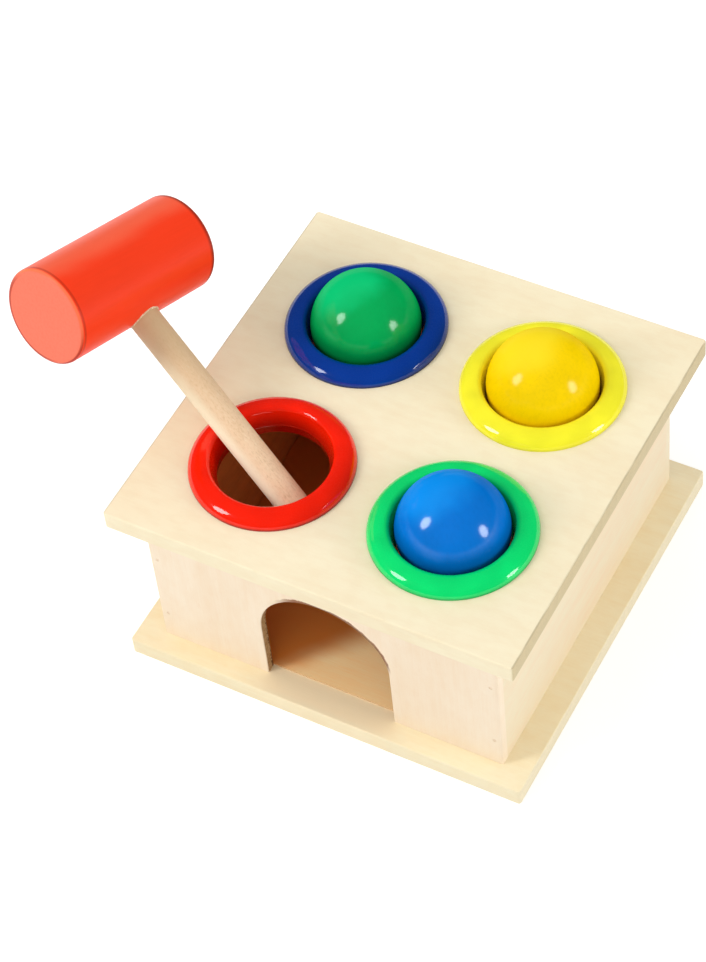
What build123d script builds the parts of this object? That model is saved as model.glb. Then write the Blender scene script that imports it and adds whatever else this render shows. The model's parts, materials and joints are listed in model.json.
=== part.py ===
from build123d import *
from math import asin, atan2, cos, hypot, radians, sin, sqrt, tan
import os

# Ball pounding bench: a low wooden box with four elastic rings in its top board, three balls
# held by the rings, and a mallet whose handle is stuck into the fourth ring.
# Lengths are in millimetres and angles in degrees. +Z is up and the door faces -Y. The origin is
# the middle of the base board's underside.

os.makedirs("parts", exist_ok=True)

# Top and base boards
board_width = 135.0
board_depth = 135.0
board_thickness = 6.5
board_corner_radius = 1.0
board_edge_radius = 0.4
box_height = 70.0

# Walls: the boards stand out past them, and the front and back walls cover the side walls' ends
side_overhang = 8.8
end_overhang = 7.0
body_width = board_width - 2 * side_overhang
body_depth = board_depth - 2 * end_overhang
end_wall_thickness = 3.0
side_wall_thickness = 5.0
wall_corner_radius = 0.6

# Door in the front wall: straight jambs under a half-round arch, with wall left above its crown
door_width = 43.6
door_headroom = 11.8
door_edge_radius = 0.4

# Elastic rings: as large as the top board takes, with a named gap between them and a margin
# outside them. Each has a bead that rises over the board to a rounded shoulder at the hole, a
# thick sleeve that ends short of the board's underside, and a low lip inside.
ring_gap = 9.4
ring_margin = 11.8
ring_diameter = (min(board_width, board_depth) - ring_gap) / 2 - ring_margin
bead_width = 7.1
bead_height = 4.0
bead_rounding = 1.7
bead_seat = 1.2
sleeve_diameter = ring_diameter - 2 * (bead_width - bead_seat)
sleeve_wall = 2.3
sleeve_clearance = 0.1
sleeve_recess = 0.9
lip_reach = 0.3
lip_diameter = sleeve_diameter - 2 * (sleeve_wall + lip_reach)
lip_rounding = 0.6
lip_depth = 2.5

# Balls: a little wider than the lips, which hold them up
lip_grip = 0.2
ball_diameter = lip_diameter + 2 * lip_grip
ball_clearance = 0.2

# Ramp that rolls a fallen ball to the door, and the strip under its raised end
ramp_thickness = 3.0
ramp_toe_height = 0.6
ramp_angle = 8.0
ramp_clearance = 0.3
cleat_width = 9.0

# Brads: headless pins
brad_diameter = 1.2
brad_length = 15.0
brad_sink = 0.1
brad_clearance = 0.03
wall_brad_height_shares = (0.2, 0.675)
base_brad_place_shares = (-0.36, 0.0, 0.36)

# Mallet: the handle leans on the red ring's bead and passes under the far side of its sleeve.
# The head is bored a little out of square.
head_diameter = 30.8
head_length = 58.0
head_edge_radius = 1.2
head_bore_depth = 22.0
handle_diameter = 9.7
handle_length = 119.0
handle_end_radius = 1.0
handle_fit = 0.05
handle_rest_clearance = 0.3
handle_pass_clearance = 0.35
handle_heading = -19.2
handle_offset = 2.33
head_reach = 51.03
head_turn = -16.64
head_lean = -1.98

# One overrun for every cut
overrun = 1.0

# Heights that the pieces share
wall_bottom = board_thickness
wall_top = box_height - board_thickness
wall_height = wall_top - wall_bottom
wall_middle = (wall_bottom + wall_top) / 2

# Faces of the walls
front_face = -body_depth / 2
front_inner_face = front_face + end_wall_thickness
back_inner_face = -front_inner_face
side_wall_length = back_inner_face - front_inner_face
side_wall_middle = body_width / 2 - side_wall_thickness / 2

# Middles of the four rings
ring_side = board_width / 2 - ring_margin - ring_diameter / 2
ring_end = board_depth / 2 - ring_margin - ring_diameter / 2
ring_places = {
    "blue": (-ring_side, ring_end),
    "yellow": (ring_side, ring_end),
    "green": (ring_side, -ring_end),
    "red": (-ring_side, -ring_end),
}


# Brads

brad_hole_radius = brad_diameter / 2 + brad_clearance
wall_brad_spots = [
    (side * side_wall_middle, wall_bottom + share * wall_height)
    for side in (-1, 1)
    for share in wall_brad_height_shares
]
base_brad_spots = [
    (side * side_wall_middle, share * side_wall_length)
    for side in (-1, 1)
    for share in base_brad_place_shares
]
front_plane = Plane.XZ.offset(-front_face)
back_plane = Plane(origin=(0, -front_face, 0), x_dir=(1, 0, 0), z_dir=(0, -1, 0))


def brad_circles(plane, spots, radius):
    """One circle for each brad, on the face that the brads go into"""
    with BuildSketch(plane) as circles:
        with Locations(*spots):
            Circle(radius)
    return circles.sketch


def cut_wall_brad_holes():
    """Takes the front and back brads' holes out of the wall that is being made"""
    for plane, inward in ((front_plane, -1), (back_plane, 1)):
        mouths = brad_circles(plane, wall_brad_spots, brad_hole_radius)
        extrude(mouths, amount=inward * (brad_sink + brad_length), mode=Mode.SUBTRACT)


def cut_base_brad_holes():
    """Takes the base brads' holes out of the piece that is being made"""
    mouths = brad_circles(Plane.XY, base_brad_spots, brad_hole_radius)
    extrude(mouths, amount=brad_sink + brad_length, mode=Mode.SUBTRACT)


with BuildPart() as wall_brads:
    for plane, inward in ((front_plane, -1), (back_plane, 1)):
        heads = brad_circles(plane.offset(inward * brad_sink), wall_brad_spots, brad_diameter / 2)
        extrude(heads, amount=inward * brad_length)

with BuildPart() as base_brads:
    heads = brad_circles(Plane.XY.offset(brad_sink), base_brad_spots, brad_diameter / 2)
    extrude(heads, amount=brad_length)


# Boards

def add_board(bottom):
    """Adds a square board with rounded corners and eased edges to the part being made"""
    with BuildSketch(Plane.XY.offset(bottom)) as outline:
        RectangleRounded(board_width, board_depth, board_corner_radius)
    board = extrude(outline.sketch, amount=board_thickness)
    fillet(board.faces().filter_by(Axis.Z).edges(), radius=board_edge_radius)


with BuildPart() as base_board:
    add_board(0)
    cut_base_brad_holes()

with BuildPart() as top_board:
    add_board(wall_top)
    with BuildSketch(Plane.XY.offset(wall_top)):
        with Locations(*ring_places.values()):
            Circle(sleeve_diameter / 2 + sleeve_clearance)
    extrude(amount=board_thickness, mode=Mode.SUBTRACT)


# Walls

with BuildPart() as front_wall:
    with BuildSketch(front_plane):
        with Locations((0, wall_middle)):
            Rectangle(body_width, wall_height)
        with BuildLine():
            jamb = door_width / 2
            springing = wall_top - door_headroom - jamb
            Line((-jamb, wall_bottom - overrun), (-jamb, springing))
            ThreePointArc((-jamb, springing), (0, springing + jamb), (jamb, springing))
            Line((jamb, springing), (jamb, wall_bottom - overrun))
            Line((jamb, wall_bottom - overrun), (-jamb, wall_bottom - overrun))
        make_face(mode=Mode.SUBTRACT)
    extrude(amount=-end_wall_thickness)
    outer_face = front_wall.faces().sort_by(Axis.Y)[0]
    door_edges = outer_face.edges().filter_by(
        lambda edge: abs(edge.center().X) < body_width / 2 - overrun
        and wall_bottom < edge.center().Z < wall_top
    )
    fillet(door_edges, radius=door_edge_radius)
    corners = front_wall.edges().filter_by(Axis.Z).group_by(Axis.Y)[0]
    fillet([corners.sort_by(Axis.X)[0], corners.sort_by(Axis.X)[-1]], radius=wall_corner_radius)
    cut_wall_brad_holes()

with BuildPart() as back_wall:
    with BuildSketch(back_plane):
        with Locations((0, wall_middle)):
            Rectangle(body_width, wall_height)
    extrude(amount=end_wall_thickness)
    corners = back_wall.edges().filter_by(Axis.Z).group_by(Axis.Y)[-1]
    fillet(corners, radius=wall_corner_radius)
    cut_wall_brad_holes()


def make_side_wall(side):
    """Side wall between the front and back walls; side is -1 at the left and 1 at the right"""
    with BuildPart() as wall:
        with BuildSketch(Plane.YZ.offset(side * side_wall_middle)):
            with Locations((0, wall_middle)):
                Rectangle(side_wall_length, wall_height)
        extrude(amount=side_wall_thickness / 2, both=True)
        cut_wall_brad_holes()
        cut_base_brad_holes()
    return wall


left_wall = make_side_wall(-1)
right_wall = make_side_wall(1)


# Ramp

ramp_front = front_inner_face + ramp_clearance
ramp_back = back_inner_face - ramp_clearance
ramp_slope = tan(radians(ramp_angle))
ramp_depth_down = ramp_thickness / cos(radians(ramp_angle))
ramp_half_width = side_wall_middle - side_wall_thickness / 2 - ramp_clearance


def ramp_top(y):
    """Height of the ramp's upper face at a place y"""
    return wall_bottom + ramp_toe_height + (y - ramp_front) * ramp_slope


def ramp_under(y):
    """Height of the ramp's underside at a place y"""
    return ramp_top(y) - ramp_depth_down


ramp_toe_end = ramp_front + (ramp_depth_down - ramp_toe_height) / ramp_slope

with BuildPart() as ramp_board:
    with BuildSketch(Plane.YZ):
        Polygon(
            (ramp_front, wall_bottom),
            (ramp_toe_end, wall_bottom),
            (ramp_back, ramp_under(ramp_back)),
            (ramp_back, ramp_top(ramp_back)),
            (ramp_front, ramp_top(ramp_front)),
            align=None,
        )
    extrude(amount=ramp_half_width, both=True)

cleat_front = back_inner_face - cleat_width

with BuildPart() as ramp_cleat:
    with BuildSketch(Plane.YZ):
        Polygon(
            (cleat_front, wall_bottom),
            (back_inner_face, wall_bottom),
            (back_inner_face, ramp_under(back_inner_face)),
            (cleat_front, ramp_under(cleat_front)),
            align=None,
        )
    extrude(amount=ramp_half_width, both=True)


# Rings and balls

ring_radius = ring_diameter / 2
crest_radius = ring_radius - bead_width + bead_rounding
shoulder_height = bead_height - bead_rounding
sleeve_radius = sleeve_diameter / 2
sleeve_inner_radius = sleeve_radius - sleeve_wall
lip_radius = lip_diameter / 2
lip_centre_radius = lip_radius + lip_rounding
sleeve_length = board_thickness - sleeve_recess


def make_ring(colour):
    """Elastic ring: its section is turned about the middle of its hole"""
    x, y = ring_places[colour]
    section = Plane(origin=(x, y, box_height), x_dir=(1, 0, 0), z_dir=(0, -1, 0))
    with BuildPart() as ring:
        with BuildSketch(section):
            with BuildLine():
                bead = EllipticalCenterArc(
                    (crest_radius, 0), ring_radius - crest_radius, bead_height, arc_size=90
                )
                shoulder = CenterArc((crest_radius, shoulder_height), bead_rounding, 90, 90)
                lip = CenterArc((lip_centre_radius, -lip_depth), lip_rounding, 135, 90)
                Line(shoulder @ 1, lip @ 0)
                foot = Line(lip @ 1, (sleeve_inner_radius, -sleeve_length))
                Polyline(
                    foot @ 1, (sleeve_radius, -sleeve_length), (sleeve_radius, 0), bead @ 0
                )
            make_face()
        revolve(axis=Axis((x, y, 0), (0, 0, 1)))
    ring.part.label = colour + "_ring"
    return ring


ball_radius = ball_diameter / 2
ball_to_lip = ball_radius + ball_clearance + lip_rounding
ball_height = box_height - lip_depth + sqrt(ball_to_lip**2 - lip_centre_radius**2)


def make_ball(colour, ring_colour):
    """Turned wooden ball, held by the lip of the ring it stands in"""
    x, y = ring_places[ring_colour]
    with BuildPart() as ball:
        with BuildSketch(Plane(origin=(x, y, ball_height), x_dir=(1, 0, 0), z_dir=(0, -1, 0))):
            with BuildLine():
                meridian = CenterArc((0, 0), ball_radius, -90, 180)
                Line(meridian @ 1, meridian @ 0)
            make_face()
        revolve(axis=Axis((x, y, 0), (0, 0, 1)))
    ball.part.label = colour + "_ball"
    return ball


rings = [make_ring(colour) for colour in ring_places]
balls = [make_ball("green", "blue"), make_ball("yellow", "yellow"), make_ball("blue", "green")]


# Mallet

head_radius = head_diameter / 2
handle_radius = handle_diameter / 2

# The handle's underside clears the near shoulder's rounding, and its upper side the far lower
# corner of the sleeve
near_reach = sqrt(crest_radius**2 - handle_offset**2)
far_reach = sqrt(sleeve_inner_radius**2 - handle_offset**2)
corner_drop = shoulder_height + sleeve_length
corner_slope = atan2(corner_drop, near_reach + far_reach)
axis_lift = bead_rounding + handle_rest_clearance + handle_radius
pass_height = axis_lift + handle_radius + handle_pass_clearance
slope = corner_slope + asin(pass_height / hypot(corner_drop, near_reach + far_reach))
heading = radians(handle_heading)
turn = radians(head_turn)
lean = radians(head_lean)

# Unit directions: along the handle to its free end, level across it, and square to both; then
# square to the handle near the head's length, along the head's length, and square to that
handle_way = Vector(cos(heading) * cos(slope), sin(heading) * cos(slope), -sin(slope))
level_way = Vector(sin(heading), -cos(heading), 0)
upright_way = handle_way.cross(level_way)
square_way = level_way * cos(turn) + upright_way * sin(turn)
head_way = square_way * cos(lean) + handle_way * sin(lean)
head_square_way = handle_way * cos(lean) - square_way * sin(lean)

# The handle's axis passes over the shoulder of the red ring's bead, beside the ring's middle
red_x, red_y = ring_places["red"]
rest_point = Vector(
    red_x - near_reach * cos(heading) + handle_offset * level_way.X,
    red_y - near_reach * sin(heading) + handle_offset * level_way.Y,
    box_height + shoulder_height + axis_lift / cos(slope),
)
head_centre = rest_point - handle_way * head_reach
handle_start = head_radius - head_bore_depth + handle_fit
head_plane = Plane(origin=head_centre, x_dir=head_square_way, z_dir=head_way)
handle_plane = Plane(origin=head_centre, x_dir=square_way, z_dir=handle_way)

with BuildPart() as mallet_head:
    with BuildSketch(head_plane):
        Circle(head_radius)
    extrude(amount=head_length / 2, both=True)
    fillet(mallet_head.edges().filter_by(GeomType.CIRCLE), radius=head_edge_radius)
    with BuildSketch(handle_plane.offset(head_radius - head_bore_depth)):
        Circle(handle_radius + handle_fit)
    extrude(amount=head_bore_depth + overrun, mode=Mode.SUBTRACT)

with BuildPart() as mallet_handle:
    with BuildSketch(handle_plane.offset(handle_start)):
        Circle(handle_radius)
    extrude(amount=handle_length)
    fillet(mallet_handle.edges().filter_by(GeomType.CIRCLE), radius=handle_end_radius)


# Labels and files

wall_brads.part.label = "wall_brads"
base_brads.part.label = "base_brads"
base_board.part.label = "base_board"
top_board.part.label = "top_board"
front_wall.part.label = "front_wall"
back_wall.part.label = "back_wall"
left_wall.part.label = "left_wall"
right_wall.part.label = "right_wall"
ramp_board.part.label = "ramp_board"
ramp_cleat.part.label = "ramp_cleat"
mallet_head.part.label = "mallet_head"
mallet_handle.part.label = "mallet_handle"

export_step(wall_brads.part, "parts/wall_brads.step")
export_step(base_brads.part, "parts/base_brads.step")
export_step(base_board.part, "parts/base_board.step")
export_step(top_board.part, "parts/top_board.step")
export_step(front_wall.part, "parts/front_wall.step")
export_step(back_wall.part, "parts/back_wall.step")
export_step(left_wall.part, "parts/left_wall.step")
export_step(right_wall.part, "parts/right_wall.step")
export_step(ramp_board.part, "parts/ramp_board.step")
export_step(ramp_cleat.part, "parts/ramp_cleat.step")
for piece in rings + balls:
    export_step(piece.part, "parts/" + piece.part.label + ".step")
export_step(mallet_head.part, "parts/mallet_head.step")
export_step(mallet_handle.part, "parts/mallet_handle.step")
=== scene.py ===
import json
from math import cos, pi, radians, sin
from random import Random
from typing import NamedTuple

import bpy
from mathutils import Matrix, Vector


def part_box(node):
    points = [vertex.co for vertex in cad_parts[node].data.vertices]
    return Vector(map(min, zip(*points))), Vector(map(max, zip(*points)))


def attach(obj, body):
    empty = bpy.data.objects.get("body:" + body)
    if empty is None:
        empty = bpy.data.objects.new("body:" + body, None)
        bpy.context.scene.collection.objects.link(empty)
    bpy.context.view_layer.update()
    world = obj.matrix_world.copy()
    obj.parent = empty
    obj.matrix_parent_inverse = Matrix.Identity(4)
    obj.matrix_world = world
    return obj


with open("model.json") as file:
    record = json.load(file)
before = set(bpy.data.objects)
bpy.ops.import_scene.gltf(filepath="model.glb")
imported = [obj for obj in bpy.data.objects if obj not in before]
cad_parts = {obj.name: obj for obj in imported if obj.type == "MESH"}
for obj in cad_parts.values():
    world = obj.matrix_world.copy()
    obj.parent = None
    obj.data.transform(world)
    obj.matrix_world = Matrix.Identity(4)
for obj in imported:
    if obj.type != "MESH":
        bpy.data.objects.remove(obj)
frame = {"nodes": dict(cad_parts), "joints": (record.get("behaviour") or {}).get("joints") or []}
bpy.context.view_layer.update()
nodes = frame["nodes"]

MM = 0.001


# Colours

def rgb(red, green, blue):
    return (red, green, blue, 1.0)


def dimmed(colour, share):
    """The colour with its red, green and blue brought down to a share"""
    red, green, blue, _ = colour
    return rgb(share * red, share * green, share * blue)


WHITE = rgb(1.0, 1.0, 1.0)

BOARD_PALE = rgb(0.955, 0.855, 0.610)
BOARD_DEEP = rgb(0.89, 0.73, 0.48)
BOARD_END = rgb(0.68, 0.56, 0.335)
BASE_PALE = rgb(0.945, 0.845, 0.595)
BASE_DEEP = rgb(0.90, 0.73, 0.44)
BASE_END = rgb(0.93, 0.82, 0.58)
# Painted light on the base in front of the door
BASE_PAINTED_LIGHT = rgb(1.0, 0.810, 0.525)
WALL_PALE = rgb(0.885, 0.780, 0.560)
WALL_DEEP = rgb(0.90, 0.70, 0.48)
WALL_END = rgb(0.88, 0.72, 0.50)
FRONT_PALE = rgb(0.965, 0.825, 0.640)
FRONT_DEEP = rgb(0.92, 0.73, 0.52)
SAWN_PALE = rgb(0.64, 0.43, 0.22)
SAWN_DEEP = rgb(0.46, 0.27, 0.12)
# Darker along the back edge of the door's saw cut
SAWN_BACK_EDGE = rgb(0.20, 0.075, 0.020)
# Painted shade: dark line round the upper right of the door's arch
ARCH_SHADE = rgb(0.24, 0.070, 0.012)
# Painted shade on the faces inside the box
INSIDE_SHADE = rgb(0.86, 0.28, 0.065)
RAMP_PALE = rgb(1.0, 0.71, 0.36)
RAMP_DEEP = rgb(1.0, 0.62, 0.27)
RAMP_END = rgb(0.80, 0.52, 0.26)
# Painted shadow on the ramp where the door's left side shades it, deeper further back
RAMP_SHADOW = rgb(0.82, 0.255, 0.040)
RAMP_DEEP_SHADOW = rgb(0.70, 0.185, 0.028)
# Painted shade on the ramp's front face
RAMP_FRONT_SHADE = rgb(0.66, 0.44, 0.24)
HANDLE_PALE = rgb(0.93, 0.67, 0.44)
HANDLE_DEEP = rgb(0.82, 0.56, 0.34)
HANDLE_FLECK = rgb(0.60, 0.38, 0.20)
HANDLE_GLINT = rgb(0.98, 0.88, 0.72)
# Painted shadow of the mallet's head on the handle
HANDLE_HEAD_SHADOW = rgb(0.58, 0.41, 0.22)
# Painted light on the handle's side that faces the front-left lamp
HANDLE_LIT_SIDE = rgb(1.0, 0.92, 0.68)

RED_PAINT = rgb(0.998, 0.046, 0.006)
# Painted sheen on the mallet head's upper side
RED_SHEEN = rgb(0.998, 0.130, 0.055)
# Painted highlight on the upper part of the head's rounded edges
RED_EDGE_HIGHLIGHT = rgb(0.98, 0.22, 0.09)
# Painted sheen on the head's end faces
RED_FACE_SHEEN = rgb(0.95, 0.19, 0.11)
# Ball paints, each followed by the painted light on the ball's top
GREEN_PAINT = rgb(0.001, 0.395, 0.092)
GREEN_LIT_TOP = rgb(0.004, 0.600, 0.190)
YELLOW_PAINT = rgb(0.985, 0.670, 0.001)
YELLOW_LIT_TOP = rgb(0.998, 0.760, 0.020)
BLUE_PAINT = rgb(0.001, 0.172, 0.640)
BLUE_LIT_TOP = rgb(0.004, 0.290, 0.880)

# Rubber colours, each followed by the painted shade inside its ring's hole
BLUE_RUBBER = rgb(0.001, 0.042, 0.320)
BLUE_HOLE_SHADE = rgb(0.001, 0.012, 0.090)
YELLOW_RUBBER = rgb(0.998, 0.930, 0.030)
YELLOW_HOLE_SHADE = rgb(0.42, 0.18, 0.008)
GREEN_RUBBER = rgb(0.002, 0.770, 0.175)
GREEN_HOLE_SHADE = rgb(0.001, 0.240, 0.060)
RED_RUBBER = rgb(0.985, 0.014, 0.001)
RED_HOLE_SHADE = rgb(0.30, 0.004, 0.001)

FILLER_PALE = rgb(0.92, 0.74, 0.54)
FILLER_DEEP = rgb(0.78, 0.57, 0.39)
GLUE_PALE = rgb(0.93, 0.78, 0.56)
GLUE_DEEP = rgb(0.62, 0.36, 0.20)
PAPER = rgb(0.78, 0.78, 0.78)


# Helpers for nodes

class Nodes:
    """A node tree that grows by one node a call; each call returns the new node's output"""

    def __init__(self, tree):
        self.tree = tree

    def add(self, kind, inputs=(), output=0, **settings):
        """Adds a node, sets its settings, and gives each named input a value or a link"""
        node = self.tree.nodes.new(kind)
        for key, value in settings.items():
            setattr(node, key, value)
        for key, value in dict(inputs).items():
            self.feed(node.inputs[key], value)
        return node.outputs[output]

    def feed(self, socket, value):
        if isinstance(value, bpy.types.NodeSocket):
            self.tree.links.new(value, socket)
        else:
            socket.default_value = value

    def math(self, operation, first, second=0.0, clamp=False):
        return self.add("ShaderNodeMath", {0: first, 1: second}, operation=operation, use_clamp=clamp)

    def plus(self, total, *others):
        for value in others:
            total = self.math("ADD", total, value)
        return total

    def minus(self, first, second):
        return self.math("SUBTRACT", first, second)

    def times(self, product, *others):
        for value in others:
            product = self.math("MULTIPLY", product, value)
        return product

    def held(self, value):
        """The value, held between 0 and 1"""
        return self.math("ADD", value, 0.0, clamp=True)

    def unsigned(self, value):
        return self.math("ABSOLUTE", value)

    def less(self, value, limit):
        """1 where the value is under the limit, and 0 elsewhere"""
        return self.math("LESS_THAN", value, limit)

    def more(self, value, limit):
        """1 where the value is over the limit, and 0 elsewhere"""
        return self.math("GREATER_THAN", value, limit)

    def vector(self, operation, first, second=(0.0, 0.0, 0.0), output=0):
        return self.add("ShaderNodeVectorMath", {0: first, 1: second}, output, operation=operation)

    def dot(self, first, second):
        return self.vector("DOT_PRODUCT", first, tuple(second), "Value")

    def length(self, vector):
        return self.vector("LENGTH", vector, output="Value")

    def combine(self, x, y, z=0.0):
        return self.add("ShaderNodeCombineXYZ", {0: x, 1: y, 2: z})

    def split(self, vector):
        outputs = self.add("ShaderNodeSeparateXYZ", {0: vector}).node.outputs
        return outputs[0], outputs[1], outputs[2]

    def spread(self, value, low, high, to_low=0.0, to_high=1.0):
        """value from low to high becomes to_low to to_high, smoothly, and is held outside them"""
        inputs = {"Value": value, 1: low, 2: high, 3: to_low, 4: to_high}
        return self.add("ShaderNodeMapRange", inputs, interpolation_type="SMOOTHSTEP")

    def noise(self, vector, scale=1.0, detail=2.0, roughness=0.5, distortion=0.0):
        inputs = {
            "Vector": vector,
            "Scale": scale,
            "Detail": detail,
            "Roughness": roughness,
            "Distortion": distortion,
        }
        return self.add("ShaderNodeTexNoise", inputs)

    def blend(self, share, first, second):
        """Colour between first, at share 0, and second, at share 1"""
        node = self.tree.nodes.new("ShaderNodeMix")
        node.data_type = "RGBA"
        self.feed(node.inputs["Factor"], share)
        self.feed(node.inputs[6], first)
        self.feed(node.inputs[7], second)
        return node.outputs[2]

    def bump(self, height, distance, strength=1.0, normal=None):
        """Relief whose height of 1 is a distance in millimetres"""
        inputs = {"Height": height, "Distance": distance * MM, "Strength": strength}
        if normal is not None:
            inputs["Normal"] = normal
        return self.add("ShaderNodeBump", inputs)

    def place(self):
        """The point on the object, in millimetres"""
        point = self.add("ShaderNodeTexCoord", output="Object")
        return self.add("ShaderNodeVectorMath", {0: point, "Scale": 1 / MM}, operation="SCALE")

    def facing(self):
        """The surface's direction, in the object's own axes"""
        return self.add("ShaderNodeTexCoord", output="Normal")


class Shader(Nodes):
    """A material's nodes, with the colour so far"""

    def __init__(self, name):
        self.material = bpy.data.materials.new(name)
        self.material.use_nodes = True
        super().__init__(self.material.node_tree)
        self.surface = self.tree.nodes["Principled BSDF"]
        self.output = self.tree.nodes["Material Output"]
        self.colour = WHITE

    def tint(self, share, tone):
        """Lays a share of the tone over the colour so far"""
        self.colour = self.blend(share, self.colour, tone)

    def finish(self, **sockets):
        """Sets or links the surface's sockets; an underline in a name stands for a space"""
        self.feed(self.surface.inputs["Base Color"], self.colour)
        for key, value in sockets.items():
            self.feed(self.surface.inputs[key.replace("_", " ")], value)
        return self.material


# Grain, in wood and under paint

class Pattern(NamedTuple):
    """Noise that follows the grain: its turns per millimetre along and across the grain, how far
    the piece's seed moves it, and how fine and rough it is"""

    along: float
    across: float
    shift: float
    detail: float = 3.0
    roughness: float = 0.6


DRIFT = Pattern(0.006, 0.022, 1.0, detail=2.0, roughness=0.5)
CLOUDS = Pattern(0.020, 0.05, 3.1, roughness=0.55)
MOTTLE = Pattern(0.16, 0.34, 4.3)
FIBRES = Pattern(0.035, 1.5, 5.3, roughness=0.65)
STREAKS = Pattern(0.010, 0.30, 7.9, detail=2.0)
PORES = Pattern(0.22, 2.6, 2.3, detail=1.0, roughness=0.4)
VESSELS = Pattern(0.5, 2.2, 1.9)
FLECKS = Pattern(0.75, 2.2, 6.1, roughness=0.75)
BREAKS = Pattern(0.08, 0.08, 1.0, roughness=0.5)
BURR = Pattern(0.9, 0.9, 2.0, roughness=0.7)
PAINTED_FIBRES = Pattern(0.05, 1.1, 3.7)
PAINTED_CLOUDS = Pattern(0.05, 0.09, 5.1, detail=2.0, roughness=0.5)
SHIFT_WAY = (1.0, 1.7, -0.6)


class Grained(Shader):
    """A material whose patterns follow the grain; way is the grain's direction, and centre the
    point from which the patterns are measured"""

    def __init__(self, name, way, seed, centre=(0.0, 0.0, 0.0)):
        super().__init__(name)
        self.way = Vector(way).normalized()
        self.seed = seed
        level = Vector((-self.way.y, self.way.x, 0.0))
        level = level.normalized() if level.length > 0.1 else Vector((1.0, 0.0, 0.0))
        axes = (self.way, level, self.way.cross(level))
        point = self.vector("SUBTRACT", self.place(), tuple(value / MM for value in centre))
        self.along, self.level, self.upright = (self.dot(point, axis) for axis in axes)
        self.space = self.combine(self.along, self.level, self.upright)
        self.x, self.y, self.z = self.split(self.place())

    def pattern(self, kind):
        scaled = self.vector("MULTIPLY", self.space, (kind.along, kind.across, kind.across))
        moved = self.vector("ADD", scaled, tuple(kind.shift * self.seed * part for part in SHIFT_WAY))
        return self.noise(moved, detail=kind.detail, roughness=kind.roughness)

    def squareness(self):
        """1 where the surface cuts square across the grain, and 0 where it runs along it"""
        return self.unsigned(self.dot(self.facing(), self.way))


# Wood

PITH_LEVEL, PITH_LEVEL_STEP = 31.0, 7.0
PITH_UPRIGHT, PITH_UPRIGHT_STEP = -64.0, -5.0
PITH_DRIFT = 34.0
# Painted shade round the arch: where it starts and ends beyond the door's half width
ARCH_SHADE_START = 0.75
ARCH_SHADE_END = 1.25
# Slope of the edge of the ramp's painted shadow
SHADOW_SLOPE = 1.09


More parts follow.
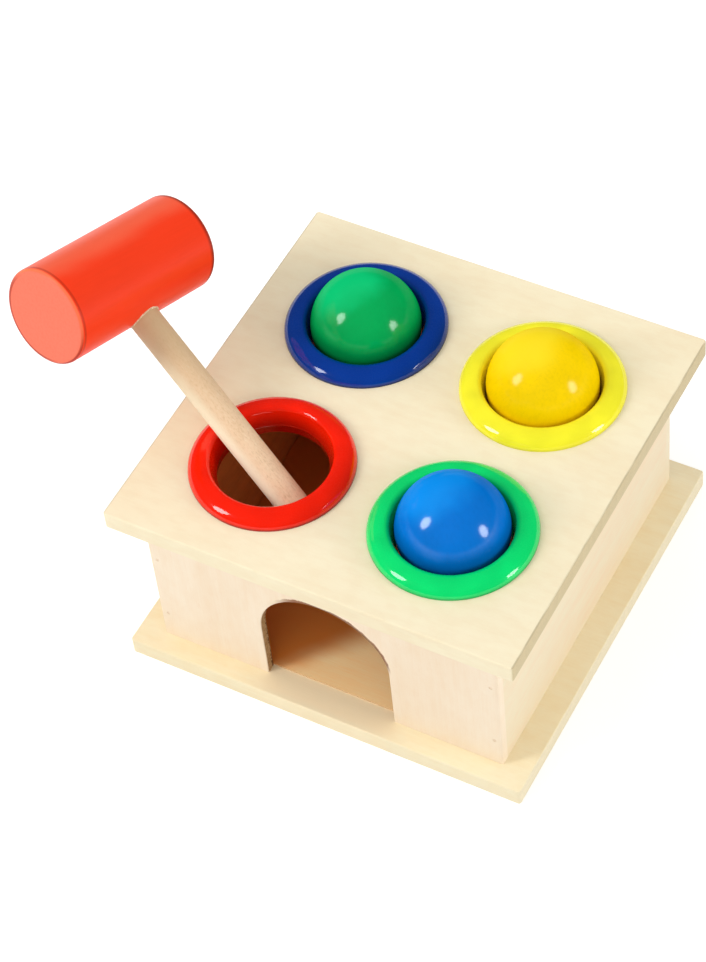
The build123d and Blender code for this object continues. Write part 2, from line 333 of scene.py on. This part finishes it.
class Wood(Grained):
    """Pale close-grained wood as a solid pattern: growth rings, fibres, pores and cloudy patches.
    figure says how strongly the grain shows. Lengths in the methods are in millimetres."""

    def __init__(self, name, way, pale, deep, seed, centre=(0.0, 0.0, 0.0), figure=1.0):
        super().__init__(name, way, seed, centre)
        self.rings = self.growth_rings()
        self.clouds = self.pattern(CLOUDS)
        self.mottle = self.pattern(MOTTLE)
        self.fibres = self.pattern(FIBRES)
        self.pores = self.spread(self.pattern(PORES), 0.64, 0.74)
        self.depth = self.plus(
            self.spread(self.rings, 0.35, 1.0, 0.0, 0.10 * figure),
            self.spread(self.fibres, 0.36, 0.72, 0.0, 0.16 * figure),
            self.spread(self.pattern(STREAKS), 0.40, 0.70, 0.0, 0.18 * figure),
            self.spread(self.mottle, 0.35, 0.70, 0.0, 0.26),
            self.spread(self.clouds, 0.35, 0.68, -0.06, 0.30),
            self.times(self.pores, 0.22 * figure),
        )
        self.colour = self.blend(self.depth, pale, deep)

    def growth_rings(self):
        """Rings round the tree's pith, which lies beside the piece and wanders along the grain"""
        level = PITH_LEVEL + PITH_LEVEL_STEP * self.seed
        upright = PITH_UPRIGHT + PITH_UPRIGHT_STEP * self.seed
        pith = self.vector("ADD", self.space, (0.0, level, upright))
        drift = self.combine(0.0, self.times(self.pattern(DRIFT), PITH_DRIFT))
        wander = self.vector("ADD", pith, drift)
        return self.add(
            "ShaderNodeTexWave",
            {"Vector": wander, "Scale": 0.058, "Distortion": 1.6, "Detail": 2.0, "Detail Scale": 0.04},
            output="Fac",
            wave_type="RINGS",
            rings_direction="X",
            wave_profile="SAW",
        )

    def fleck(self, strength, dark, pale):
        """Short dark and pale flecks"""
        flecks = self.pattern(FLECKS)
        self.tint(self.spread(flecks, 0.50, 0.68, 0.0, strength), dark)
        self.tint(self.spread(flecks, 0.46, 0.32, 0.0, 0.6 * strength), pale)

    def paint_lit_side(self, way, tone):
        """Painted light: paler on the side that faces the given way"""
        side = self.dot(self.facing(), Vector(way).normalized())
        self.tint(self.spread(side, 0.10, 0.85, 0.0, 0.9), tone)

    def paint_shade_along_grain(self, start, end, tone):
        """Painted shade: darker, fading out from start to end along the grain"""
        patchy = self.plus(self.along, self.times(self.clouds, 16.0))
        self.tint(self.spread(patchy, start, end, 0.85, 0.0), tone)

    def cut_ends(self, tone):
        """End grain, dotted with vessels, where the surface cuts across the grain"""
        vessels = self.spread(self.pattern(VESSELS), 0.35, 0.7, 0.0, 0.55)
        depth = self.plus(vessels, self.times(self.rings, 0.25))
        self.tint(self.end_share(), self.blend(depth, tone, dimmed(tone, 0.86)))

    def end_share(self):
        return self.spread(self.squareness(), 0.55, 0.95)

    def line_rim(self, half, top, tone):
        """Broken darker line along the board's top left and right edges"""
        line = self.spread(self.unsigned(self.x), half - 0.55, half - 0.25)
        near_top = self.more(self.z, top - 0.45)
        broken = self.spread(self.pattern(BREAKS), 0.35, 0.6, 0.35, 0.8)
        self.tint(self.times(line, near_top, broken), tone)

    def paint_light_lane(self, half, back, tone):
        """Painted light: a paler, warmer lane, as wide as the door, in front of the wall whose face is at
        back, where the dark doorway throws back less light than the wall beside it
        """
        across = self.spread(self.unsigned(self.x), half - 4.0, half + 6.0, 1.0, 0.0)
        lane = self.times(across, self.spread(self.y, back - 9.0, back - 4.0))
        self.tint(self.times(lane, 0.9), tone)

    def saw_door(self, half, back, top):
        """Scorched saw cut round the door's opening, darker along its back edge, and painted shade: a
        dark line round the upper right of its arch; half, back and top are the door's half width, the wall's
        back and the door's top"""
        facing_y = self.unsigned(self.split(self.facing())[1])
        in_door = self.less(self.unsigned(self.x), half + 0.5)
        sawn = self.times(self.spread(facing_y, 0.25, 0.75, 1.0, 0.0), in_door)
        burr = self.pattern(BURR)
        scorched = self.blend(self.spread(burr, 0.35, 0.7), SAWN_PALE, SAWN_DEEP)
        # Darker along the cut's back edge
        toward_back = self.plus(self.y, self.spread(burr, 0.35, 0.65, -0.5, 0.5))
        scorched = self.blend(self.spread(toward_back, back - 0.75, back - 0.35), scorched, SAWN_BACK_EDGE)
        self.tint(sawn, scorched)

        # Painted shade: a dark line round the upper right of the arch
        above = self.math("MAXIMUM", self.minus(self.z, top - half), 0.0)
        radius = self.length(self.combine(self.x, above))
        radius = self.minus(radius, self.spread(self.mottle, 0.35, 0.65, -0.25, 0.20))
        line = self.times(
            self.spread(radius, half + ARCH_SHADE_START, half + ARCH_SHADE_END, 0.90, 0.0),
            self.spread(facing_y, 0.6, 0.9),
            self.spread(self.x, -17.0, -8.0),
            self.spread(above, 0.0, 7.0),
        )
        self.tint(line, ARCH_SHADE)

    def paint_ramp_shadow(self, left, front):
        """Painted shadow: browner behind and to the left of a line from the door's left edge, where that
        side casts its shadow, and darker further back; and painted shade on the front face"""
        # Painted shadow: how far a point lies behind the shadow's edge from the door's left side
        beyond = self.times(self.minus(self.x, left), SHADOW_SLOPE)
        shadow_depth = self.minus(self.minus(self.y, front), beyond)
        shadow_depth = self.plus(shadow_depth, self.spread(self.clouds, 0.35, 0.65, -1.5, 1.5))
        shadow_tone = self.blend(self.spread(self.y, front + 22.0, front + 60.0), RAMP_SHADOW, RAMP_DEEP_SHADOW)
        self.tint(self.spread(shadow_depth, -9.0, 6.0), shadow_tone)
        # Painted shade on the front face
        front_face = self.spread(self.split(self.facing())[1], -0.5, -0.9, 0.0, 0.8)
        self.tint(front_face, RAMP_FRONT_SHADE)

    def paint_inside_shade(self, tone):
        """Painted shade: dark red-brown on the faces inside the box, darker where the grain is deeper"""
        mask = self.times(
            self.less(self.unsigned(self.x), inner_x + TOUCH),
            self.less(self.unsigned(self.y), inner_y + TOUCH),
            self.less(self.z, ceiling_z + TOUCH),
            self.more(self.z, floor_z - TOUCH),
        )
        self.tint(mask, self.blend(self.depth, tone, dimmed(tone, 0.72)))

    def sanded(self, roughness=0.5):
        """The finished material: fibres stand out a little, and pores lie deeper"""
        shine = self.plus(
            self.spread(self.clouds, 0.3, 0.7, roughness - 0.05, roughness + 0.06),
            self.spread(self.fibres, 0.4, 0.7, -0.03, 0.04),
            self.times(self.end_share(), 0.14),
        )
        relief = self.plus(self.fibres, self.times(self.pores, -0.6))
        return self.finish(
            Roughness=shine,
            Specular_IOR_Level=0.25,
            Normal=self.bump(relief, 0.03, 0.5),
        )


# Paint

class Paint(Grained):
    """Opaque paint on turned wood: a thin coat that lets the grain show a little. ghost says how
    strongly the grain shows. Lengths in the methods are in millimetres."""

    def __init__(self, name, colour, way, seed, centre, ghost, roughness=0.34, coat=0.75):
        super().__init__(name, way, seed, centre)
        self.paint = colour
        self.coat = coat
        self.fibres = self.pattern(PAINTED_FIBRES)
        self.clouds = self.pattern(PAINTED_CLOUDS)
        depth = self.plus(
            self.spread(self.fibres, 0.42, 0.75, 0.0, 2.2 * ghost),
            self.spread(self.clouds, 0.35, 0.70, 0.0, 2.6 * ghost),
        )
        self.colour = self.blend(depth, colour, dimmed(colour, 0.80))
        self.shine = self.spread(self.clouds, 0.3, 0.7, roughness - 0.03, roughness + 0.05)

    def fade(self, way, low, high, tone):
        """Painted light: paler on the side that faces the given way, from a low to a high share of facing it
        """
        up = self.dot(self.facing(), Vector(way).normalized())
        up = self.plus(up, self.spread(self.clouds, 0.3, 0.7, -0.06, 0.06))
        self.tint(self.spread(up, low, high, 0.0, 0.9), tone)

    def shade_foot(self, foot, share):
        """Darker and duller near the ring, whose crest is at the height foot, and duller where the
        surface turns away"""
        rise = self.plus(self.z, self.spread(self.clouds, 0.3, 0.7, -0.8, 0.8))
        self.tint(self.spread(rise, foot, foot + 5.5, share, 0.0), dimmed(self.paint, 0.42))
        turned = self.add("ShaderNodeLayerWeight", {"Blend": 0.5}, "Facing")
        self.coat = self.times(
            self.spread(turned, 0.18, 0.42, self.coat, 0.12 * self.coat),
            self.spread(rise, foot + 1.5, foot + 8.5, 0.10, 1.0),
        )

    def paint_end_light_and_shade(self, half_length, face_radius, tone):
        """Painted light and shade at the ends: paler end faces with a painted sheen, rounded edges with a
        painted highlight above and painted shade below, painted shade round the far end and along the low
        side of the end faces' outline, and a darker band on the side next to the near end
        """
        # Painted shade round the far end
        far_end_shade = self.spread(self.along, 0.8 - half_length, 2.4 - half_length, 0.9, 0.0)
        self.tint(far_end_shade, dimmed(self.paint, 0.22))
        square = self.squareness()
        # Painted highlight on the upper part of the rounded edges, painted shade on the lower part
        upper = self.spread(self.split(self.facing())[2], -0.10, 0.45)
        edge = self.blend(upper, dimmed(self.paint, 0.30), RED_EDGE_HIGHLIGHT)
        self.tint(self.spread(square, 0.25, 0.55, 0.0, 0.7), edge)
        near_rim = self.times(
            self.spread(self.along, half_length - 2.0, half_length - 1.6),
            self.spread(square, 0.05, 0.30, 0.55, 0.0),
        )
        self.tint(near_rim, dimmed(self.paint, 0.45))
        # Painted sheen: paler end faces, with faint end grain fibres
        face = self.spread(square, 0.80, 0.98)
        self.tint(face, self.blend(self.spread(self.fibres, 0.4, 0.7, 0.0, 0.10), tone, self.paint))
        # Painted shade along the low side of the end faces' outline
        from_axis = self.length(self.combine(self.level, self.upright))
        low_side = self.plus(self.times(self.level, -0.8), self.times(self.upright, -0.6))
        low_edge_shade = self.times(
            self.spread(from_axis, face_radius - 0.45, face_radius - 0.10, 0.0, 0.7),
            self.spread(low_side, 1.0, 9.0),
        )
        self.tint(low_edge_shade, dimmed(self.paint, 0.35))
        self.shine = self.plus(self.shine, self.times(face, 0.22))

    def dried(self, coat_roughness=0.13, specular=0.0):
        """The finished material, with the grain's relief and the paint's orange peel"""
        peel = self.noise(self.space, scale=0.9)
        relief = self.bump(self.fibres, 0.02, 0.35)
        return self.finish(
            Roughness=self.shine,
            Specular_IOR_Level=specular,
            Coat_Weight=self.coat,
            Coat_Roughness=coat_roughness,
            Normal=self.bump(peel, 0.02, 0.25, relief),
        )


# Rubber

def rubber(name, colour, seed, centre, radius, foot, edge, hole_shade):
    """Glossy moulded ring: slight waves from the mould, fine scuffs, and painted shade, darker at its foot
    and dark on its inner wall down in the hole.
    radius is the ring's, foot the height at which it stands, and edge the foot's share of the
    colour; lengths are in millimetres."""
    shader = Shader(name)
    point = shader.vector("SUBTRACT", shader.place(), tuple(centre))
    waves = shader.noise(point, scale=0.12, detail=1.0)
    fine = shader.noise(point, scale=2.4, detail=3.0, roughness=0.6)
    scuffs = shader.noise(point, scale=0.7, detail=4.0, roughness=0.7, distortion=1.5 + seed)
    shader.colour = shader.blend(shader.spread(waves, 0.35, 0.7, 0.0, 0.5), colour, dimmed(colour, 0.82))
    x, y, z = shader.split(point)
    from_axis = shader.length(shader.combine(x, y))
    # Painted shade where the ring meets the board
    rim = shader.times(
        shader.spread(from_axis, radius - 1.4, radius - 0.6),
        shader.spread(z, foot + 0.3, foot + 1.1, 0.85, 0.0),
    )
    shader.tint(rim, dimmed(colour, edge))
    # Painted shade on the inner wall, going down into the hole
    within = shader.times(
        shader.spread(z, foot - 3.5, foot + 3.0, 0.75, 0.0),
        shader.less(from_axis, radius - 6.2),
    )
    shader.tint(within, hole_shade)
    relief = shader.bump(waves, 0.06, 0.3)
    return shader.finish(
        Roughness=shader.plus(
            shader.spread(fine, 0.3, 0.7, 0.24, 0.30),
            shader.spread(scuffs, 0.60, 0.78, 0.0, 0.10),
        ),
        Specular_IOR_Level=0.04,
        Coat_Weight=1.0,
        Coat_Roughness=0.06,
        Normal=shader.bump(fine, 0.008, 0.2, relief),
    )


# Filler and glue

def filler(name):
    """Brad heads under a smear of tan wood filler, with bare steel showing through it"""
    shader = Shader(name)
    marks = shader.noise(shader.place(), scale=1.6, detail=3.0, roughness=0.7)
    shader.colour = shader.blend(shader.spread(marks, 0.40, 0.75), FILLER_PALE, FILLER_DEEP)
    return shader.finish(
        Metallic=shader.spread(marks, 0.66, 0.74, 0.0, 0.5),
        Roughness=shader.spread(marks, 0.3, 0.7, 0.45, 0.65),
        Normal=shader.bump(marks, 0.01, 0.3),
    )


def glue(name):
    """Dried wood glue: cloudy, pale and uneven"""
    shader = Shader(name)
    marks = shader.noise(shader.place(), scale=1.3, detail=3.0, roughness=0.7)
    shader.colour = shader.blend(shader.spread(marks, 0.38, 0.65), GLUE_PALE, GLUE_DEEP)
    return shader.finish(
        Roughness=shader.spread(marks, 0.3, 0.7, 0.35, 0.6),
        Specular_IOR_Level=0.3,
        Normal=shader.bump(marks, 0.05, 0.6),
    )


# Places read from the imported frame, in millimetres

def centre_of(name):
    """Middle of a node's box, in metres"""
    low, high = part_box(name)
    return (low + high) / 2


TOUCH = 0.05
inner_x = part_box("right_wall")[0].x / MM
inner_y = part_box("back_wall")[0].y / MM
floor_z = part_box("left_wall")[0].z / MM
ceiling_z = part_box("left_wall")[1].z / MM

board_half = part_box("top_board")[1].x / MM
board_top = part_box("top_board")[1].z / MM
wall_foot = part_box("front_wall")[0].z / MM
wall_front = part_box("front_wall")[0].y / MM
wall_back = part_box("front_wall")[1].y / MM
ramp_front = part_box("ramp_board")[0].y / MM
ring_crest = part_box("blue_ring")[1].z / MM

wall_points = [vertex.co / MM for vertex in nodes["front_wall"].data.vertices]
door_half = min(abs(point.x) for point in wall_points if point.z < wall_foot + TOUCH)
over_door = [point.z for point in wall_points if abs(point.x) < door_half]
door_top = max(height for height in over_door if height < ceiling_z - TOUCH)


# The mallet's axes and radii, in metres

def farthest_from_axis(points, axis):
    return max((point - axis * point.dot(axis)).length for point in points)


lift = next(joint for joint in frame["joints"] if joint["name"] == "mallet_lift")
handle_way = -Vector(lift["axis"])
head_centre = centre_of("mallet_head")
head_faces = [face for face in nodes["mallet_head"].data.polygons if face.center.y < head_centre.y]
head_way = max(head_faces, key=lambda face: face.area).normal.copy()
head_points = [vertex.co - head_centre for vertex in nodes["mallet_head"].data.vertices]
head_half = max(point.dot(head_way) for point in head_points)
head_radius = farthest_from_axis(head_points, head_way)
face_points = [point for point in head_points if point.dot(head_way) > head_half - 0.01 * MM]
face_radius = farthest_from_axis(face_points, head_way)
handle_points = [vertex.co - head_centre for vertex in nodes["mallet_handle"].data.vertices]
handle_radius = farthest_from_axis(handle_points, handle_way)


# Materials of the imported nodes

def dress(name, material):
    """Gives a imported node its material"""
    node = nodes[name]
    node.data.materials.clear()
    node.data.materials.append(material)


def dress_boards():
    top = Wood("top_board_wood", (1, 0, 0), BOARD_PALE, BOARD_DEEP, 1.0, figure=0.35)
    top.cut_ends(BOARD_END)
    top.line_rim(board_half, board_top, dimmed(BOARD_END, 0.78))
    top.paint_inside_shade(INSIDE_SHADE)
    dress("top_board", top.sanded())

    base = Wood("base_board_wood", (1, 0, 0), BASE_PALE, BASE_DEEP, 2.0, figure=0.8)
    base.cut_ends(BASE_END)
    # Painted light in front of the door
    base.paint_light_lane(door_half, wall_front, BASE_PAINTED_LIGHT)
    dress("base_board", base.sanded())


WALLS = {"back_wall": ((0, 0, 1), 4.0), "left_wall": ((0, 1, 0), 5.0), "right_wall": ((0, 1, 0), 6.0)}


def dress_walls():
    front = Wood("front_wall_wood", (0, 0, 1), FRONT_PALE, FRONT_DEEP, 3.0)
    front.cut_ends(WALL_END)
    front.saw_door(door_half, wall_back, door_top)
    front.paint_inside_shade(INSIDE_SHADE)
    dress("front_wall", front.sanded())

    for name, (way, seed) in WALLS.items():
        wall = Wood(name + "_wood", way, WALL_PALE, WALL_DEEP, seed)
        wall.cut_ends(WALL_END)
        wall.paint_inside_shade(INSIDE_SHADE)
        dress(name, wall.sanded())


def dress_ramp():
    ramp = Wood("ramp_wood", (1, 0, 0), RAMP_PALE, RAMP_DEEP, 7.0, figure=1.5)
    ramp.cut_ends(RAMP_END)
    ramp.paint_ramp_shadow(-door_half, ramp_front - 3.0)
    dress("ramp_board", ramp.sanded(roughness=0.6))

    cleat = Wood("cleat_wood", (1, 0, 0), RAMP_PALE, RAMP_DEEP, 8.0)
    cleat.cut_ends(RAMP_END)
    dress("ramp_cleat", cleat.sanded(roughness=0.6))


LIT_SIDE_WAY = (-0.49, -0.81, -0.33)
SHEEN_WAY = (-0.68, 0.33, 0.65)
HEAD_SHADOW_START = 6.0
HEAD_SHADOW_END = 62.0


def dress_mallet():
    handle = Wood("handle_wood", handle_way, HANDLE_PALE, HANDLE_DEEP, 9.0, head_centre, figure=0.8)
    handle.fleck(0.45, HANDLE_FLECK, HANDLE_GLINT)
    # Painted light on the lower-left side
    handle.paint_lit_side(LIT_SIDE_WAY, HANDLE_LIT_SIDE)
    # Painted shadow of the head, near the head
    handle.paint_shade_along_grain(head_radius / MM + HEAD_SHADOW_START, head_radius / MM + HEAD_SHADOW_END, HANDLE_HEAD_SHADOW)
    handle.cut_ends(HANDLE_DEEP)
    dress("mallet_handle", handle.sanded(roughness=0.55))

    head = Paint("mallet_paint", RED_PAINT, head_way, 1.0, head_centre, 0.06, roughness=0.46, coat=0.30)
    # Painted sheen on the head's upper side
    head.fade(SHEEN_WAY, 0.35, 0.80, RED_SHEEN)
    # Painted light and shade at the head's ends
    head.paint_end_light_and_shade(head_half / MM, face_radius / MM, RED_FACE_SHEEN)
    dress("mallet_head", head.dried(coat_roughness=0.30, specular=0.08))


class Ball(NamedTuple):
    """Paint of a ball: the grain's way and show, its painted light on top, the share of painted shade at its
    foot and the coat's weight
    """

    paint_name: str
    colour: tuple
    lit_top: tuple
    way: tuple
    seed: float
    foot_share: float
    ghost: float
    coat: float


BALLS = {
    "green_ball": Ball("green_paint", GREEN_PAINT, GREEN_LIT_TOP, (0.2, 0.3, 1.0), 2.0, 0.70, 0.10, 0.74),
    "yellow_ball": Ball("yellow_paint", YELLOW_PAINT, YELLOW_LIT_TOP, (0.3, -0.2, 1.0), 3.0, 0.12, 0.16, 0.42),
    "blue_ball": Ball("blue_paint", BLUE_PAINT, BLUE_LIT_TOP, (-0.2, 0.1, 1.0), 4.0, 0.55, 0.10, 1.00),
}
LIT_TOP_WAY = (-0.4, 0.1, 0.9)


def dress_balls():
    for name, ball in BALLS.items():
        centre = centre_of(name)
        paint = Paint(ball.paint_name, ball.colour, ball.way, ball.seed, centre, ball.ghost, coat=ball.coat)
        # Painted light on the top of the ball
        paint.fade(LIT_TOP_WAY, 0.60, 0.96, ball.lit_top)
        paint.shade_foot(ring_crest, ball.foot_share)
        dress(name, paint.dried())


# Each ring: its material, colour, seed, the colour's share kept under the painted shade of its foot, and the
# painted shade of its hole
RINGS = {
    "blue_ring": ("blue_rubber", BLUE_RUBBER, 1.0, 0.25, BLUE_HOLE_SHADE),
    "yellow_ring": ("yellow_rubber", YELLOW_RUBBER, 2.0, 0.75, YELLOW_HOLE_SHADE),
    "green_ring": ("green_rubber", GREEN_RUBBER, 3.0, 0.50, GREEN_HOLE_SHADE),
    "red_ring": ("red_rubber", RED_RUBBER, 4.0, 0.30, RED_HOLE_SHADE),
}


def dress_rings():
    for name, (rubber_name, colour, seed, edge, hole_shade) in RINGS.items():
        low, high = (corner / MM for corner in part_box(name))
        axis = Vector(((low.x + high.x) / 2, (low.y + high.y) / 2, 0.0))
        radius = (high.x - low.x) / 2
        dress(name, rubber(rubber_name, colour, seed, axis, radius, board_top, edge, hole_shade))


def dress_brads():
    brad_heads = filler("brad_heads_filled")
    for name in ("wall_brads", "base_brads"):
        dress(name, brad_heads)


dress_boards()
dress_walls()
dress_ramp()
dress_mallet()
dress_balls()
dress_rings()
dress_brads()


# Glue where the handle enters the mallet's head

COLLAR_STEPS = 72
COLLAR_SIDES = 6
COLLAR_SEED = 11
COLLAR_SIZE = 0.42 * MM
COLLAR_FLATNESS = 0.9


def collar_point(turn, radius):
    """Point on the head's round side, at a turn and a distance about the handle's axis"""
    across = handle_way.cross(head_way).normalized()
    beside = across.cross(handle_way).normalized()
    foot = radius * (cos(turn) * across + sin(turn) * beside)
    square = foot - head_way * foot.dot(head_way)
    run = handle_way - head_way * handle_way.dot(head_way)
    lead, half, rest = run.dot(run), run.dot(square), square.dot(square) - head_radius**2
    reach = (-half + (half * half - lead * rest) ** 0.5) / lead
    return head_centre + foot + handle_way * reach


def make_collar():
    """Low irregular bead laid along the joint's line"""
    draw = Random(COLLAR_SEED)
    swell = [draw.uniform(0.5, 1.0) for _ in range(COLLAR_STEPS)]
    points, faces = [], []
    for step in range(COLLAR_STEPS):
        after = (step + 1) % COLLAR_STEPS
        turn = 2 * pi * step / COLLAR_STEPS
        size = COLLAR_SIZE * (swell[step] + swell[step - 1] + swell[after]) / 3
        middle = collar_point(turn, handle_radius + 0.10 * MM)
        out = (collar_point(turn, handle_radius + 1.0 * MM) - middle).normalized()
        for side in range(COLLAR_SIDES):
            angle = 2 * pi * side / COLLAR_SIDES
            points.append(middle + size * (cos(angle) * out + COLLAR_FLATNESS * sin(angle) * handle_way))
            here, there = step * COLLAR_SIDES, after * COLLAR_SIDES
            next_side = (side + 1) % COLLAR_SIDES
            faces.append((here + side, there + side, there + next_side, here + next_side))
    mesh = bpy.data.meshes.new("glue_collar")
    mesh.from_pydata(points, [], faces)
    mesh.shade_smooth()
    collar = bpy.data.objects.new("glue_collar", mesh)
    bpy.context.scene.collection.objects.link(collar)
    collar.data.materials.append(glue("glue_dried"))
    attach(collar, "mallet")


make_collar()


# Floor, seen as white by the camera and still taking the object's shadow

FLOOR_HALF = 3.0


def seen(shader):
    """1 for rays that show a surface: from the camera, or by way of gloss or glass"""
    rays = shader.add("ShaderNodeLightPath").node.outputs
    shown = [rays[kind] for kind in ("Is Camera Ray", "Is Glossy Ray", "Is Transmission Ray")]
    return shader.held(shader.plus(*shown))


def floor_material():
    """Pale paper with a glow that is stronger away from the object, in millimetres"""
    shader = Shader("floor_paper")
    shader.tree.nodes.remove(shader.surface)
    paper = shader.add("ShaderNodeBsdfDiffuse", {"Color": PAPER})
    away = shader.length(shader.place())
    strength = shader.times(seen(shader), shader.spread(away, 400.0, 1200.0, 0.42, 0.62))
    glow = shader.add("ShaderNodeEmission", {"Color": WHITE, "Strength": strength})
    shader.feed(shader.output.inputs["Surface"], shader.add("ShaderNodeAddShader", {0: paper, 1: glow}))
    return shader.material


def make_floor():
    mesh = bpy.data.meshes.new("floor")
    turns = ((-1, -1), (1, -1), (1, 1), (-1, 1))
    corners = [(x * FLOOR_HALF, y * FLOOR_HALF, 0) for x, y in turns]
    mesh.from_pydata(corners, [], [(0, 1, 2, 3)])
    floor = bpy.data.objects.new("floor", mesh)
    bpy.context.scene.collection.objects.link(floor)
    floor.data.materials.append(floor_material())


make_floor()


# World: even light. It is white where the camera sees it; gloss sees it white at the horizon and
# darker overhead, as in a room whose ceiling isn't lit.

AMBIENT = 0.60
OVERHEAD = 0.05


def make_world():
    world = bpy.data.worlds.new("studio")
    world.use_nodes = True
    sky = Nodes(world.node_tree)
    rays = sky.add("ShaderNodeLightPath").node.outputs
    height = sky.split(sky.add("ShaderNodeTexCoord", output="Generated"))[2]
    shown = sky.held(sky.plus(rays["Is Camera Ray"], rays["Is Transmission Ray"]))
    gloss = sky.spread(height, -0.03, 0.07, 1.0 - AMBIENT, OVERHEAD - AMBIENT)
    level = sky.plus(
        AMBIENT,
        sky.times(shown, 1.0 - AMBIENT),
        sky.times(rays["Is Glossy Ray"], gloss),
    )
    background = sky.tree.nodes["Background"]
    sky.feed(background.inputs["Color"], WHITE)
    sky.feed(background.inputs["Strength"], level)
    bpy.context.scene.world = world


make_world()


# Lamps

LAMP_AIM = Vector((0.0, 0.0, 0.07))


def lamp_box(name, place, width, height, level, shines):
    """Round area lamp whose light gives the level, as a share of full, on a surface that faces it;
    a lamp that doesn't shine isn't shown by gloss"""
    back = Vector(place) - LAMP_AIM
    lamp = bpy.data.lights.new(name, "AREA")
    lamp.shape = "ELLIPSE"
    lamp.size = width
    lamp.size_y = height
    lamp.energy = level * pi**2 * back.length**2
    box = bpy.data.objects.new(name, lamp)
    bpy.context.scene.collection.objects.link(box)
    box.matrix_world = Matrix.Translation(place) @ back.to_track_quat("Z", "Y").to_matrix().to_4x4()
    box.visible_glossy = shines


lamp_box("key_box", (-0.90, -0.90, 0.97), 0.44, 0.68, 0.35, shines=True)
lamp_box("side_box", (1.50, 0.10, 0.47), 0.44, 0.64, 0.33, shines=True)
lamp_box("front_box", (-0.20, -1.00, 1.30), 2.80, 2.80, 0.24, shines=False)
lamp_box("window_box", (-1.10, 0.50, 1.25), 2.40, 2.40, 0.18, shines=False)


# Camera, at the photograph's viewing angle

PHOTO_WIDTH = 706
PHOTO_HEIGHT = 962
SENSOR = 36.0
CAMERA_PLACE = Vector((0.30719, -0.50063, 0.76955))
CAMERA_AZIMUTH = 33.345
CAMERA_ELEVATION = 50.91
CAMERA_ROLL = -6.998
FOCAL_PIXELS = 3042.0


def make_camera():
    azimuth = radians(CAMERA_AZIMUTH)
    elevation = radians(CAMERA_ELEVATION)
    roll = radians(CAMERA_ROLL)
    back = Vector((sin(azimuth) * cos(elevation), -cos(azimuth) * cos(elevation), sin(elevation)))
    level = Vector((cos(azimuth), sin(azimuth), 0.0))
    upright = back.cross(level)
    right = cos(roll) * level + sin(roll) * upright
    up = -sin(roll) * level + cos(roll) * upright
    data = bpy.data.cameras.new("photo_view")
    data.sensor_width = SENSOR
    data.lens = FOCAL_PIXELS * SENSOR / max(PHOTO_WIDTH, PHOTO_HEIGHT)
    data.clip_start = 0.01
    camera = bpy.data.objects.new("photo_view", data)
    bpy.context.scene.collection.objects.link(camera)
    turn = Matrix((right, up, back)).transposed().to_4x4()
    camera.matrix_world = Matrix.Translation(CAMERA_PLACE) @ turn
    bpy.context.scene.camera = camera


make_camera()
bpy.context.scene.view_settings.view_transform = "Standard"


# Bring the scene up to date

bpy.context.view_layer.update()
